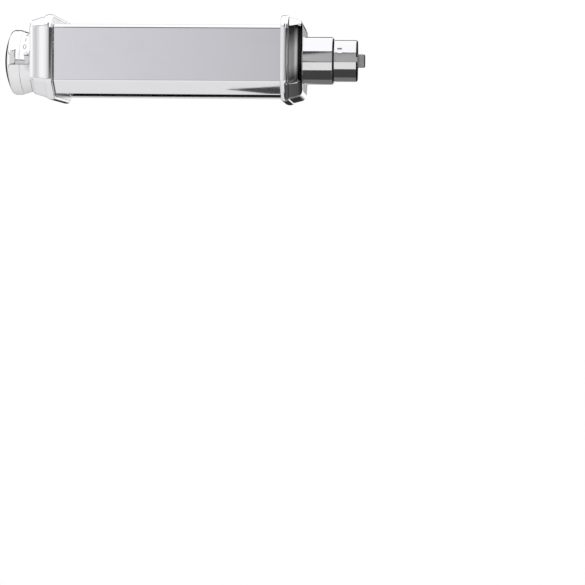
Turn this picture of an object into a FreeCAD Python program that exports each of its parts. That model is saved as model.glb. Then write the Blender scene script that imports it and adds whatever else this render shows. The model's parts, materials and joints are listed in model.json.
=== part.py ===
import FreeCAD, Part
import math
import os

# Pasta roller head that plugs into a drive socket. Millimetres.
# Origin: centre of the hub's shoulder on the drive axis. +X out of the hub, +Y to the rear, +Z up.
V = FreeCAD.Vector
os.makedirs("parts", exist_ok=True)

# rollers and their axes
roller_r = 14.0
roller_x = (-186.3, -37.3)
fixed_axis_y = 29.5          # the axis the adjusting axle turns about
eccentric = 1.2              # throw of the axle's middle
moving_y = fixed_axis_y + eccentric
mid_y = fixed_axis_y / 2     # middle plane of the body
shaft_r = 6.0
left_journal_r = 5.0
axle_r = 5.5
axle_journal_r = 4.0
running = 0.05               # radial clearance of every turning fit

# gear pair, thinned teeth so that it stays in mesh over the axle's throw
teeth = 12
gear_x = (-31.8, -26.2)
gear_root_r = 11.8
gear_tip_r = 15.8
tooth_root_half = 1.8
tooth_tip_half = 0.8

# body
plate_t = 2.5
left_in = -188.6             # inner face of the left side plate and casing
right_in = -35.0             # inner face of the right side plate and casing
left_out = -205.1
right_out = -20.5
left_bead = -194.0           # where the rim bead steps down to the crown
right_bead = -29.6
half_depth = 39.5
top_z = 29.0
bottom_z = -28.0
chamfer_z = -16.5            # height at which the lower corner's slope starts
foot_half = 28.0             # half width of the bottom, where the slope ends
wall = 1.8
corner_r = 9.5               # rounding of the section's upper corners
knee_r = 5.0                 # rounding at both ends of the lower slopes
bead_step = 1.5
crown_draw = 3.0
crown_round = 4.0

# covers
sheet = 0.8
cover_gap = 0.3
cover_half = 34.5

# hub and drive end
hub_r = 16.0
spigot_r = 14.0
spigot_l = 16.0
hub_bore_r = 11.5
flange_x = (-25.5, -22.5)
tang = 8.4
tang_end = 21.0

# tie rods, (y, z)
rod_r = 3.0
screw_r = 1.5
screw_clear = 1.6
rods = {
    "front_upper": (-15.4, 14.2),
    "front_lower": (-11.2, -16.8),
    "rear_upper": (2 * mid_y + 15.4, 14.2),
    "rear_lower": (2 * mid_y + 11.2, -16.8),
}
flange_posts = [rods["front_upper"], rods["rear_upper"], (15.0, -17.0)]
pillars = [(-9.0, 15.0), (-8.0, -10.0)]
guide_pin = (30.0, -19.0)
casing_screws = [(30.0, 15.0), (24.0, -15.5)]

# knob and index plate
knob_edge = -206.8
knob_web = (-213.0, -211.0)
knob_band = -211.4           # crease between the skirt and the numbered band
knob_split = -218.0          # seam between the band and the cap
knob_tip = -231.3
knob_r = 22.5
index_x = (-206.3, -204.3)
index_r = 19.0
index_circle = 14.0
index_steps = 10
index_pitch = 18.0
index_start = 99.0           # angle of the pin at setting 0
axle_end = -222.0
flat_half = 3.2
spring_r = 7.0
spring_wire_r = 0.6
spring_turns = 4


def rod(x0, x1, r, y=0.0, z=0.0):
    return Part.makeCylinder(r, x1 - x0, V(x0, y, z), V(1, 0, 0))


def tube(x0, x1, outer, inner, y=0.0, z=0.0):
    return rod(x0, x1, outer, y, z).cut(rod(x0 - 1, x1 + 1, inner, y, z))


def block(x0, x1, y0, y1, z0, z1):
    return Part.makeBox(x1 - x0, y1 - y0, z1 - z0, V(x0, y0, z0))


def rounded(points, radii, x):
    """Closed wire through (y, z) points with each corner rounded."""
    count = len(points)
    arcs = []
    for i, (y, z) in enumerate(points):
        here = V(x, y, z)
        back = (V(x, *points[i - 1]) - here).normalize()
        ahead = (V(x, *points[(i + 1) % count]) - here).normalize()
        half = back.getAngle(ahead) / 2
        reach = radii[i] / math.tan(half)
        middle = (back + ahead).normalize() * (radii[i] / math.sin(half) - radii[i])
        arcs.append((here + back * reach, here + middle, here + ahead * reach))
    edges = []
    for i, (start, middle, end) in enumerate(arcs):
        edges.append(Part.Arc(start, middle, end).toShape())
        edges.append(Part.makeLine(end, arcs[(i + 1) % count][0]))
    return Part.Wire(edges)


def prism(points, x0, x1, radius=0.0):
    """Solid between x0 and x1 whose section is the (y, z) polygon."""
    if radius:
        wire = rounded(points, [radius] * len(points), x0)
    else:
        wire = Part.makePolygon([V(x0, y, z) for y, z in points + points[:1]])
    return Part.Face(wire).extrude(V(x1 - x0, 0, 0))


def turned(profile, y=0.0, z=0.0):
    """Solid of revolution about a line along X; the profile is (x, radius)."""
    wire = Part.makePolygon([V(x, y, z + r) for x, r in profile + profile[:1]])
    return Part.Face(wire).revolve(V(0, y, z), V(1, 0, 0), 360)


def body_wire(inset, x):
    """Section of the end casings, drawn in by inset."""
    slope = 0.414 * inset
    half = half_depth - inset
    foot = foot_half
    right = [
        (half, top_z - inset),
        (half, chamfer_z + slope),
        (foot - slope, bottom_z + inset),
    ]
    points = [(mid_y + u, z) for u, z in right] + [(mid_y - u, z) for u, z in reversed(right)]
    corner = corner_r - inset
    return rounded(points, [corner, knee_r, knee_r, knee_r, knee_r, corner], x)


def body_slab(inset, x0, x1):
    return Part.Face(body_wire(inset, min(x0, x1))).extrude(V(abs(x1 - x0), 0, 0))


def on_face(shape, x):
    """Edges that lie in the plane at x."""
    return [e for e in shape.Edges if all(abs(v.X - x) < 0.01 for v in e.Vertexes)]


def casing(inner, bead, outer):
    """Hollow end casing: a rounded rim bead, then a drafted crown with a soft outer edge."""
    side = 1 if outer > inner else -1
    rim = body_slab(0, inner, bead)
    rim = rim.makeFillet(1.2, on_face(rim, inner) + on_face(rim, bead))
    crown = Part.makeLoft([body_wire(bead_step, bead), body_wire(bead_step + crown_draw, outer)], True)
    crown = crown.makeFillet(crown_round, on_face(crown, outer))
    seat = inner + side * plate_t
    inside = Part.makeLoft([
        body_wire(bead_step + wall, seat),
        body_wire(bead_step + crown_draw + wall, outer - side * wall),
    ], True)
    shell = rim.fuse(crown).cut(inside)
    return shell.cut(body_slab(2.0, inner - side, seat)).removeSplitter()


def screw(x, tip, y, z, head_r=2.8, head=2.2, r=screw_r):
    """Pan-head screw whose head stands on the plane at x and points away from tip."""
    side = 1 if x > tip else -1
    shank = rod(min(x, tip), max(x, tip), r, y, z)
    cap = rod(min(x, x + side * head), max(x, x + side * head), head_r, y, z)
    cap = cap.makeFillet(0.5, on_face(cap, x + side * head))
    drive = Part.makeBox(head * 0.5, 0.8, head_r * 1.5, V(0, -0.4, -head_r * 0.75))
    drive.translate(V(x + side * head - (head * 0.5 if side > 0 else 0), y, z))
    return cap.fuse(shank).cut(drive)


def sunk_screw(x, tip, y, z, head_r=2.4, r=screw_r):
    """Countersunk screw flush with the plane at x."""
    side = 1 if x > tip else -1
    depth = head_r - r
    cone = turned([(x, 0), (x, head_r), (x - side * depth, r), (x - side * depth, 0)], y, z)
    shank = rod(min(x - side * depth, tip), max(x - side * depth, tip), r, y, z)
    drive = Part.makeBox(0.5, 0.6, head_r * 1.3, V(0, -0.3, -head_r * 0.65))
    drive.translate(V(x - (0.5 if side > 0 else 0), y, z))
    return cone.fuse(shank).cut(drive)


def sink(x, far, y, z, head_r=2.4, r=screw_r):
    """Countersunk through hole for a sunk_screw, from the plane at x to the plane at far."""
    side = 1 if x > far else -1
    depth = head_r - r
    cone = turned([(x, 0), (x, head_r), (x - side * depth, r), (x - side * depth, 0)], y, z)
    return cone.fuse(rod(min(x, far) - 0.1, max(x, far) + 0.1, r + 0.1, y, z))


def gear_blank(phase, y):
    """Toothed disc; phase is the angle of one tooth, in degrees."""
    points = []
    for k in range(teeth):
        angle = math.radians(phase + 360.0 * k / teeth)
        for r, w in (
            (gear_root_r, -tooth_root_half), (gear_tip_r, -tooth_tip_half),
            (gear_tip_r, tooth_tip_half), (gear_root_r, tooth_root_half),
        ):
            points.append((
                y + r * math.cos(angle) - w * math.sin(angle),
                r * math.sin(angle) + w * math.cos(angle),
            ))
    return prism(points, *gear_x)


def save(name, shape):
    if isinstance(shape, list):
        shape = Part.makeCompound(shape)
    shape.exportStep("parts/" + name + ".step")


# ---- side plates and tie rods
left_plate_x = (left_in - plate_t, left_in)
right_plate_x = (right_in, right_in + plate_t)
left_plate = body_slab(2.2, *left_plate_x)
right_plate = body_slab(2.2, *right_plate_x)
for y, z in rods.values():
    left_plate = left_plate.cut(rod(-200, left_in + 1, screw_clear, y, z))
    right_plate = right_plate.cut(rod(right_in - 1, -20, screw_clear, y, z))
for y, z in pillars:
    left_plate = left_plate.cut(rod(-200, left_in + 1, 2.0, y, z))
left_plate = left_plate.cut(rod(-200, left_in + 1, 7.0))
left_plate = left_plate.cut(rod(-200, left_in + 1, 6.0, fixed_axis_y))
left_plate = left_plate.cut(rod(-200, left_in + 1, 1.5, *guide_pin))
right_plate = right_plate.cut(rod(right_in - 1, -20, 8.0))
right_plate = right_plate.cut(rod(right_in - 1, -20, 11.0, fixed_axis_y))
right_plate = right_plate.cut(rod(right_in - 1, -20, 1.5, *guide_pin))
right_plate = right_plate.cut(rod(right_in - 1, -20, screw_r, *flange_posts[2]))
save("left_side_plate", left_plate)
save("right_side_plate", right_plate)
save("guide_pins", [
    rod(left_plate_x[0], left_in + 1.7, 1.5, *guide_pin),
    rod(right_in - 1.7, right_plate_x[1], 1.5, *guide_pin),
])

thread_l = 8.0
for name, (y, z) in rods.items():
    bar = rod(left_in, right_in, rod_r, y, z)
    bar = bar.cut(rod(left_in - 1, left_in + thread_l, screw_r, y, z))
    bar = bar.cut(rod(right_in - thread_l, right_in + 1, screw_r, y, z))
    save("tie_rod_" + name, bar)
save("tie_rod_screws_left", [
    screw(left_plate_x[0], left_in + thread_l - 1, y, z) for y, z in rods.values()
])
save("tie_rod_screws_right", [
    screw(right_plate_x[1], right_in - thread_l + 1, *rods[name])
    for name in ("front_lower", "rear_lower")
])

# ---- sheet covers
edge = [
    (-5.5 - mid_y, 16.5),
    (-32.6, 23.0),
    (-cover_half, 20.3),
    (-cover_half, -15.6),
    (-25.6, -24.5),
    (-23.7, -22.9),
]
bend_r = 1.6
clip_w = 8.0
clip_depth = 6.0


def drawn_in(line, distance):
    """Open (u, z) line moved sideways by distance, towards the inside of the body."""
    normals = []
    for (u0, z0), (u1, z1) in zip(line, line[1:]):
        length = math.hypot(u1 - u0, z1 - z0)
        normals.append(((z0 - z1) / length, (u1 - u0) / length))
    moved = []
    for i, (u, z) in enumerate(line):
        a = normals[max(i - 1, 0)]
        b = normals[min(i, len(normals) - 1)]
        scale = distance / (1 + a[0] * b[0] + a[1] * b[1])
        moved.append((u + (a[0] + b[0]) * scale, z + (a[1] + b[1]) * scale))
    return moved


def cover(side):
    """Folded sheet cover; side is -1 at the front and 1 at the rear."""
    loop = edge + drawn_in(edge, sheet)[::-1]
    points = [(mid_y - side * u, z) for u, z in loop]
    folds = len(edge) - 2
    radii = [0.15] + [bend_r] * folds + [0.15, 0.15] + [bend_r - sheet] * folds + [0.15]
    wire = rounded(points, radii, left_in + cover_gap)
    return Part.Face(wire).extrude(V(right_in - left_in - 2 * cover_gap, 0, 0))


def cover_clips(side):
    """Two snap blocks on a cover, each open at the back to grip the upper tie rod."""
    clips = []
    for x in (-152.0, -78.0):
        skin = cover_half - sheet
        u = sorted((side * skin, side * (skin - clip_depth)))
        clip = block(x, x + clip_w, mid_y + u[0], mid_y + u[1], 9.4, 18.6)
        y, z = rods["front_upper" if side < 0 else "rear_upper"]
        clips.append(clip.cut(rod(x - 1, x + clip_w + 1, rod_r, y, z)))
    return clips


save("front_cover", cover(-1))
save("rear_cover", cover(1))
save("front_cover_clips", cover_clips(-1))
save("rear_cover_clips", cover_clips(1))

# ---- front scraper, snapped on the lower front tie rod
cy, cz = rods["front_lower"]
blade = [
    (1.0, -14.35), (-7.0, -15.6), (-11.2, -14.9), (-11.2, -13.0), (-13.5, -13.0), (-13.5, -20.5),
    (-8.5, -20.5), (-7.0, -17.6), (1.2, -15.0),
]
front_scraper = prism(blade, -185.6, -38.0).fuse(rod(-185.6, -38.0, 4.6, cy, cz))
front_scraper = front_scraper.cut(rod(-190, -30, rod_r + running, cy, cz))
mouth = Part.makeBox(160, 12, 12, V(-190, 1.8, -6))
mouth.rotate(V(0, 0, 0), V(1, 0, 0), 225)
mouth.translate(V(0, cy, cz))
save("front_scraper", front_scraper.cut(mouth).removeSplitter())

# ---- fixed roller, its shaft, gear, bushes and clip
chamber_r = 10.0
save("drive_roller", turned([
    (roller_x[0], shaft_r), (roller_x[0], roller_r), (roller_x[1], roller_r), (roller_x[1], shaft_r),
    (roller_x[1] - 12, shaft_r), (roller_x[1] - 12, chamber_r),
    (roller_x[0] + 12, chamber_r), (roller_x[0] + 12, shaft_r),
]))
seat_end = 15.5
shaft = turned([
    (-192.8, 0), (-192.8, left_journal_r - 0.4), (-192.4, left_journal_r),
    (roller_x[0], left_journal_r), (roller_x[0], shaft_r),
    (14.3, shaft_r), (14.3, 5.2), (15.3, 5.2), (15.3, shaft_r), (seat_end, shaft_r), (seat_end, 0),
])
tang_bar = block(seat_end, tang_end, -tang / 2, tang / 2, -tang / 2, tang / 2)
tang_bar = tang_bar.makeChamfer(0.6, on_face(tang_bar, tang_end))
flat = block(gear_x[0] - 0.2, gear_x[1] + 0.2, -10, 10, 4.8, 10)
shaft = shaft.fuse(tang_bar).cut(flat)
save("drive_shaft", shaft)
gear_bore = rod(gear_x[0] - 1, gear_x[1] + 1, shaft_r).cut(block(-40, -20, -10, 10, 4.8, 10))
save("drive_gear", gear_blank(0.0, 0.0).cut(gear_bore))
save("shaft_clip", tube(14.3, 15.3, 8.0, 5.2).cut(block(14, 16, -2.5, 2.5, 0, 10)))
save("drive_roller_left_bush", tube(-192.6, left_in, 7.0, left_journal_r + running).fuse(
    tube(left_in, left_in + 1.0, 9.0, left_journal_r + running)))
save("drive_roller_right_bush", tube(right_in, right_in + 2.8, 8.0, shaft_r + running).fuse(
    tube(right_in - 1.2, right_in, 10.0, shaft_r + running)))

# ---- hub with its bayonet spigot, carried by a plate inside the right casing
flange = prism([
    (-18.2, 20.2), (47.5, 20.2), (47.5, 9.0), (38.0, -12.0),
    (22.0, -20.6), (4.0, -20.6), (-8.5, -17.2), (-18.2, -7.4),
], flange_x[0], flange_x[1], 3.5)
barrel = turned([
    (flange_x[0], 0), (flange_x[0], hub_r), (-0.8, hub_r), (0, hub_r - 0.8), (0, spigot_r),
    (spigot_l - 0.8, spigot_r), (spigot_l, spigot_r - 0.8), (spigot_l, 0),
])
hub = flange.fuse(barrel).cut(rod(-30, 20, hub_bore_r))
for y, z in flange_posts:
    hub = hub.cut(sink(flange_x[1], flange_x[0], y, z))
for y, z in casing_screws:
    hub = hub.cut(rod(-30, -20, screw_r, y, z))
hub = hub.cut(rod(-30, -20, axle_journal_r + running, fixed_axis_y))
lock_ring = tube(2.4, 5.6, spigot_r + 1, spigot_r - 1)
for turn in (90, 270):
    slot = block(2.4, 17, -1.6, 1.6, spigot_r - 1, spigot_r + 1)
    lock = lock_ring.common(block(2, 6, 0, 8, 8, 16))
    groove = slot.fuse(lock)
    groove.rotate(V(0, 0, 0), V(1, 0, 0), turn)
    hub = hub.cut(groove)
save("drive_hub", hub)
save("hub_bush", tube(2, 14, hub_bore_r, shaft_r + running))
spacers = [tube(right_plate_x[1], flange_x[0], 3.0, screw_clear, y, z) for y, z in flange_posts]
save("gearbox_spacers", spacers)
save("gearbox_screws", [
    sunk_screw(flange_x[1], tip, y, z)
    for (y, z), tip in zip(flange_posts, (right_in - thread_l + 1, right_in - thread_l + 1, right_in + 0.2))
])

# ---- end casings
right_casing = casing(right_in, right_bead, right_out).cut(rod(-30, -10, hub_r + 0.1))
for y, z in casing_screws:
    right_casing = right_casing.cut(sink(right_out, right_out - wall, y, z))
save("right_end_casing", right_casing)
save("right_casing_screws", [sunk_screw(right_out, -25.3, y, z) for y, z in casing_screws])

left_casing = casing(left_in, left_bead, left_out).cut(rod(-210, -200, 6.1, fixed_axis_y))
left_casing = left_casing.cut(rod(-210, index_x[1], index_r + 0.1, fixed_axis_y))
for y, z in pillars:
    left_casing = left_casing.cut(sink(left_out, left_out + wall, y, z))
plate_screws = [(fixed_axis_y + side * 9.5, 0.0) for side in (-1, 1)]
for y, z in plate_screws:
    left_casing = left_casing.cut(rod(-210, -200, 1.25, y, z))
save("left_end_casing", left_casing)
save("left_casing_pillars", [
    rod(left_out + wall, left_plate_x[0], 3.5, y, z).fuse(rod(left_plate_x[0], left_in, 2.0, y, z)).cut(
        rod(left_out, -194, screw_r, y, z)) for y, z in pillars
])
save("left_casing_screws", [sunk_screw(left_out, -194.5, y, z) for y, z in pillars])
save("axle_left_bush", tube(index_x[0], left_in, 6.0, axle_journal_r + running, fixed_axis_y))

# ---- index plate: a shallow ring groove with a stop hole for every setting
index = tube(index_x[0], index_x[1], index_r, 6.0, fixed_axis_y)
index = index.cut(tube(index_x[0] - 1, index_x[0] + 0.9, index_circle + 1.7, index_circle - 1.7, fixed_axis_y))
for k in range(index_steps):
    angle = math.radians(index_start + index_pitch * k)
    y = fixed_axis_y + index_circle * math.cos(angle)
    index = index.cut(rod(-210, -200, 1.6, y, index_circle * math.sin(angle)))
for y, z in plate_screws:
    index = index.cut(sink(index_x[0], index_x[1], y, z, 2.15, 1.25))
save("index_plate", index)
save("index_plate_screws", [sunk_screw(index_x[0], -202.9, y, z, 2.15, 1.25) for y, z in plate_screws])

# ---- adjusting axle with its eccentric middle, washer and screw
axle = rod(axle_end, left_in + 0.1, axle_journal_r, fixed_axis_y)
axle = axle.fuse(rod(left_in + 0.1, -25.7, axle_r, moving_y))
axle = axle.fuse(rod(-25.7, -22.6, axle_journal_r, fixed_axis_y))
for side in (-1, 1):
    z = sorted((side * flat_half, side * 6.0))
    axle = axle.cut(block(axle_end - 1, index_x[0] - 0.2, fixed_axis_y - 6, fixed_axis_y + 6, z[0], z[1]))
axle = axle.cut(rod(axle_end - 1, -212, 2.0, fixed_axis_y))
save("eccentric_axle", axle)
save("knob_washer", tube(axle_end - 1, axle_end, 9.0, 2.1, fixed_axis_y))
save("knob_screw", screw(axle_end - 1, -212.5, fixed_axis_y, 0.0, 5.0, 2.6, 2.0))

# ---- knob
knob = turned([
    (knob_edge, 17.2), (knob_edge, 20.0), (knob_band, 19.7), (knob_split, 21.6),
    (knob_split, 17.5), (knob_web[0], 17.5), (knob_web[0], 0), (knob_web[1], 0), (knob_web[1], 17.2),
], fixed_axis_y)
bore = rod(-215, -209, axle_journal_r + running, fixed_axis_y).common(
    block(-216, -208, 20, 40, -flat_half - running, flat_half + running))
pin_angle = math.radians(index_start)
pin_y = fixed_axis_y + index_circle * math.cos(pin_angle)
pin_z = index_circle * math.sin(pin_angle)
knob = knob.cut(bore).cut(rod(-215, -209, 1.5, pin_y, pin_z))
save("knob_body", knob)
save("index_pin", rod(-214.0, index_x[0] + 0.7, 1.5, pin_y, pin_z))

dome_sag = 5.3
dome_r = (21.6 ** 2 + dome_sag ** 2) / (2 * dome_sag)


def dome(tip, sphere_r, edge_r, count=10):
    """Points of a shallow dome from its tip to the radius edge_r."""
    radii = [edge_r * k / count for k in range(count + 1)]
    return [(tip + sphere_r - math.sqrt(sphere_r ** 2 - r ** 2), r) for r in radii]


cap = dome(knob_tip, dome_r, 21.6) + [(-225.4, 22.2), (-225.0, knob_r), (-220.6, knob_r), (knob_split, 21.8)]
cap += [(knob_split, 17.5), (-215.0, 17.5), (-215.0, 16.0)] + dome(knob_tip + wall, dome_r - wall, 16.0)[::-1]
save("knob_cap", turned(cap, fixed_axis_y))

rise = knob_web[0] - axle_end - 2 * spring_wire_r
helix = Part.makeHelix(rise / spring_turns, rise, spring_r)
wire = Part.Wire(Part.makeCircle(spring_wire_r, V(spring_r, 0, 0), V(0, 1, 0)))
coil = Part.Wire(helix).makePipeShell([wire], True, True)
coil.rotate(V(0, 0, 0), V(0, 1, 0), 90)
coil.translate(V(axle_end + spring_wire_r, fixed_axis_y, 0))
save("knob_spring", coil)

# ---- adjustable roller, its gear and bushes
save("rear_roller", turned([
    (roller_x[0], 8.0), (roller_x[0], roller_r), (roller_x[1], roller_r), (roller_x[1], 9.0),
    (-48.0, 9.0), (-48.0, 8.0), (-50.0, 8.0), (-50.0, chamber_r), (-173.3, chamber_r), (-173.3, 8.0),
], moving_y))
sleeve_r = 9.0
rear_gear = gear_blank(180.0 + 180.0 / teeth, moving_y).fuse(rod(-48.0, gear_x[0], sleeve_r, moving_y))
save("rear_gear", rear_gear.cut(rod(-50, -20, 7.0, moving_y)))
save("rear_gear_bush", tube(-47.5, -26.6, 7.0, axle_r + running, moving_y))
save("rear_roller_left_bush", tube(roller_x[0], -173.3, 8.0, axle_r + running, moving_y))

# ---- rear scraper, carried by two hangers that ride on the moving axis
hanger_t = 1.5
left_hanger_x = (left_in + 0.4, left_in + 0.4 + hanger_t)
right_hanger_x = (right_in - 0.4 - hanger_t, right_in - 0.4)
save("rear_scraper", prism([
    (moving_y - 1.0, -14.35), (moving_y + 6.5, -15.8), (moving_y + 6.5, -20.0),
    (moving_y + 2.9, -20.0), (moving_y + 0.8, -16.6), (moving_y - 1.2, -15.0),
], left_hanger_x[1], right_hanger_x[0]))


def hanger(x, ring_r, bore_r):
    """Plate with a ring on the moving axis and a leg forked over its guide pin."""
    leg = [
        (moving_y - 5.5, 0.0), (moving_y + 6.2, 0.0), (moving_y + 6.2, -22.0), (moving_y - 5.0, -22.0),
    ]
    plate = rod(x[0], x[1], ring_r, moving_y).fuse(prism(leg, x[0], x[1], 0.4))
    plate = plate.cut(rod(x[0] - 1, x[1] + 1, bore_r, moving_y))
    low = guide_pin[0] - 1.5 - 0.35
    high = guide_pin[0] + 2 * eccentric + 1.5 + 0.35
    return plate.cut(block(x[0] - 1, x[1] + 1, low, high, -30, guide_pin[1] + 1.5 + 0.35))


save("scraper_hanger_left", hanger(left_hanger_x, 8.5, axle_r + running))
save("scraper_hanger_right", hanger(right_hanger_x, 11.5, sleeve_r + running))
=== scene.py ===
import math
import json
import bpy
import bmesh
from mathutils import Vector, Matrix


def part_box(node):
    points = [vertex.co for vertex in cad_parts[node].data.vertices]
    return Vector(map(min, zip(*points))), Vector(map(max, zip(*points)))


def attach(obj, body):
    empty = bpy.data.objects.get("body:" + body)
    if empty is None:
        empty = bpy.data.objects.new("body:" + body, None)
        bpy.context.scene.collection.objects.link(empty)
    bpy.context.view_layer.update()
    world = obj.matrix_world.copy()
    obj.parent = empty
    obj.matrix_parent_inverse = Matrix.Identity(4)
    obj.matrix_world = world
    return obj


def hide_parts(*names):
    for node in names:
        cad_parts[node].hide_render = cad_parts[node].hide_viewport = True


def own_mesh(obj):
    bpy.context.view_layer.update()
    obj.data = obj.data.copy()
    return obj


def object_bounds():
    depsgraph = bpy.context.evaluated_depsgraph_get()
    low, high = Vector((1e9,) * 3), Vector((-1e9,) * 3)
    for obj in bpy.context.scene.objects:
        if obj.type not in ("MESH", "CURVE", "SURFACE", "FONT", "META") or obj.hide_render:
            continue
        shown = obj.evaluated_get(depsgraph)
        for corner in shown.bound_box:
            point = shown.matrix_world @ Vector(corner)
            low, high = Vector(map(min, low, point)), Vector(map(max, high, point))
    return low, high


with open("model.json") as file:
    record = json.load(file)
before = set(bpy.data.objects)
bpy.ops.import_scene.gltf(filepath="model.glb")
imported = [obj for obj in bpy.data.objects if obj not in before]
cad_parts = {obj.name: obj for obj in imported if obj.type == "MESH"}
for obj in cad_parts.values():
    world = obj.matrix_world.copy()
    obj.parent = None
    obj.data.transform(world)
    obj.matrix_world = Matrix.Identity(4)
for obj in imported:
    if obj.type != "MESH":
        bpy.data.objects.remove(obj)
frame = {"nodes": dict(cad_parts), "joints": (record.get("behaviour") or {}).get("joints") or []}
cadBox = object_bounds()
nodes = frame["nodes"]
print("stage 1: frame loaded,", len(nodes), "nodes")

# the rollers' axes, read from the joints
knobAxis = Vector(next(j for j in frame["joints"] if j["name"] == "knob_turn")["pos_m"])
rearAxis = Vector(next(j for j in frame["joints"] if j["name"] == "rear_roller_spin")["pos_m"])
knobAxis.x = rearAxis.x = 0.0
midY = (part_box("left_end_casing")[0].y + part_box("left_end_casing")[1].y) / 2
mm = 0.001
same = 1e-6     # how far apart two places may be and still count as one, m
onLine = 2e-5   # how far off a ring or a mitre line a vertex may lie, m


# camera

cameraSettings = {
    "lens": 104.6,
    "place": (0.0446, -1.1583, -0.0915),
    "yaw": 3.52,      # degrees to the left of +Y
    "pitch": -3.256,
    "roll": 0.6,
}


def makeCamera():
    s = cameraSettings
    data = bpy.data.cameras.new("camera")
    data.lens = s["lens"]
    data.clip_end = 50
    camera = bpy.data.objects.new("camera", data)
    bpy.context.scene.collection.objects.link(camera)
    turn = Matrix.Rotation(math.radians(s["yaw"]), 4, "Z")
    turn = turn @ Matrix.Rotation(math.radians(90 + s["pitch"]), 4, "X")
    turn = turn @ Matrix.Rotation(math.radians(s["roll"]), 4, "Z")
    camera.matrix_world = Matrix.Translation(Vector(s["place"])) @ turn
    bpy.context.scene.camera = camera


makeCamera()
print("stage 2: camera")


# studio

studio = {
    "floorDrop": 0.35,          # the table's height below the roller axis
    "floorSize": 1.8,
    "floorGlow": (0.90, 0.66),  # how bright the floor looks in the metal, before the object and behind it
    "panelGlow": 1.2,           # of the overhead panel and the brightest parts of the wall
    "skirtDark": 0.08,          # the dark skirting over the floor, opposite the cover
    "frameDark": 0.08,          # the thin dark frame round the overhead panel
    "wallTint": (1.01, 1.0, 1.05, 1),  # of the wall opposite the cover
    "headX": 24.0,              # plane of the dark drive head beside the hub, mm
    "baseZ": -290.0,            # plane of the dark base under it, mm
    "baseX": (-47.0, 140.0),
    "baseBack": 85.0,           # where its paler part starts, mm
    "baseGlow": 0.06,
    "rearBaseGlow": 0.2,
    "lampPlace": (-0.2, -0.3, 1.3),
    "lampSize": (1.6, 1.2),
    "lampPower": 18,
}


def feed(tree, value, entry):
    # a number sets the socket, anything else is linked to it
    if isinstance(value, (int, float, tuple)):
        entry.default_value = value
    else:
        tree.links.new(value, entry)


def mapped(tree, value, low, high, toLow, toHigh):
    node = tree.nodes.new("ShaderNodeMapRange")
    feed(tree, value, node.inputs["Value"])
    feed(tree, low, node.inputs["From Min"])
    feed(tree, high, node.inputs["From Max"])
    feed(tree, toLow, node.inputs["To Min"])
    feed(tree, toHigh, node.inputs["To Max"])
    return node.outputs["Result"]


def calc(tree, operation, a, b=0.0):
    node = tree.nodes.new("ShaderNodeMath")
    node.operation = operation
    feed(tree, a, node.inputs[0])
    feed(tree, b, node.inputs[1])
    return node.outputs[0]


def blendColour(tree, amount, a, b):
    node = tree.nodes.new("ShaderNodeMix")
    node.data_type = "RGBA"
    feed(tree, amount, node.inputs["Factor"])
    feed(tree, a, node.inputs["A"])
    feed(tree, b, node.inputs["B"])
    return node.outputs["Result"]


def greyRamp(tree, source, stops):
    ramp = tree.nodes.new("ShaderNodeValToRGB")
    while len(ramp.color_ramp.elements) < len(stops):
        ramp.color_ramp.elements.new(0.5)
    for element, (place, grey) in zip(ramp.color_ramp.elements, stops):
        element.position = place
        element.color = (grey, grey, grey, 1)
    tree.links.new(source, ramp.inputs["Fac"])
    return ramp.outputs["Color"]


def splitPlace(tree, output):
    place = tree.nodes.new("ShaderNodeTexCoord")
    parts = tree.nodes.new("ShaderNodeSeparateXYZ")
    tree.links.new(place.outputs[output], parts.inputs[0])
    return parts.outputs


def emitter(tree, colour):
    glow = tree.nodes.new("ShaderNodeEmission")
    feed(tree, colour, glow.inputs["Color"])
    return glow.outputs[0]


def startPaint(name):
    paint = bpy.data.materials.new(name)
    paint.use_nodes = True
    paint.node_tree.nodes.clear()
    return paint, paint.node_tree


def endPaint(tree, shader):
    out = tree.nodes.new("ShaderNodeOutputMaterial")
    tree.links.new(shader, out.inputs["Surface"])


def floorPaint():
    # white in direct view, and a shade darker in the metal the further back it lies
    near, far = studio["floorGlow"]
    paint, tree = startPaint("paleFloor")
    depth = mapped(tree, splitPlace(tree, "Object")["Y"], -0.2, 0.5, near, far)
    choose = tree.nodes.new("ShaderNodeMixShader")
    ray = tree.nodes.new("ShaderNodeLightPath")
    tree.links.new(ray.outputs["Is Camera Ray"], choose.inputs["Fac"])
    tree.links.new(emitter(tree, depth), choose.inputs[1])
    tree.links.new(emitter(tree, (1, 1, 1, 1)), choose.inputs[2])
    endPaint(tree, choose.outputs[0])
    return paint


def flatPaint(name, glow):
    paint, tree = startPaint(name)
    endPaint(tree, emitter(tree, (glow, glow, glow, 1)))
    return paint


def headPaint():
    # the drive head beside the hub: a grey patch in a dark surround, and one pale upright edge
    paint, tree = startPaint("headPaint")
    parts = splitPlace(tree, "Object")
    across = mapped(tree, parts["Y"], -0.17, 0.09, 0.0, 1.0)
    patch = greyRamp(tree, across, [
        (0.0, 0.30), (0.16, 0.24), (0.24, 0.60), (0.27, 0.22), (0.29, 0.015), (1.0, 0.015),
    ])
    strip = greyRamp(tree, across, [
        (0.0, 0.0), (0.39, 0.0), (0.42, 0.85), (0.455, 0.85), (0.475, 0.0), (1.0, 0.0),
    ])
    rise = mapped(tree, parts["Z"], -0.05, 0.05, 0.0, 1.0)
    window = greyRamp(tree, rise, [
        (0.0, 0.12), (0.45, 0.16), (0.54, 1.0), (0.66, 1.0), (0.80, 0.12), (1.0, 0.05),
    ])
    low = mapped(tree, parts["Z"], -0.28, 0.0, 0.0, 1.0)
    foot = greyRamp(tree, low, [(0.0, 0.11), (0.7, 0.07), (0.93, 0.0), (1.0, 0.0)])
    glow = calc(tree, "ADD", calc(tree, "ADD", calc(tree, "MULTIPLY", patch, window), strip), foot)
    endPaint(tree, emitter(tree, glow))
    return paint


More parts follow.
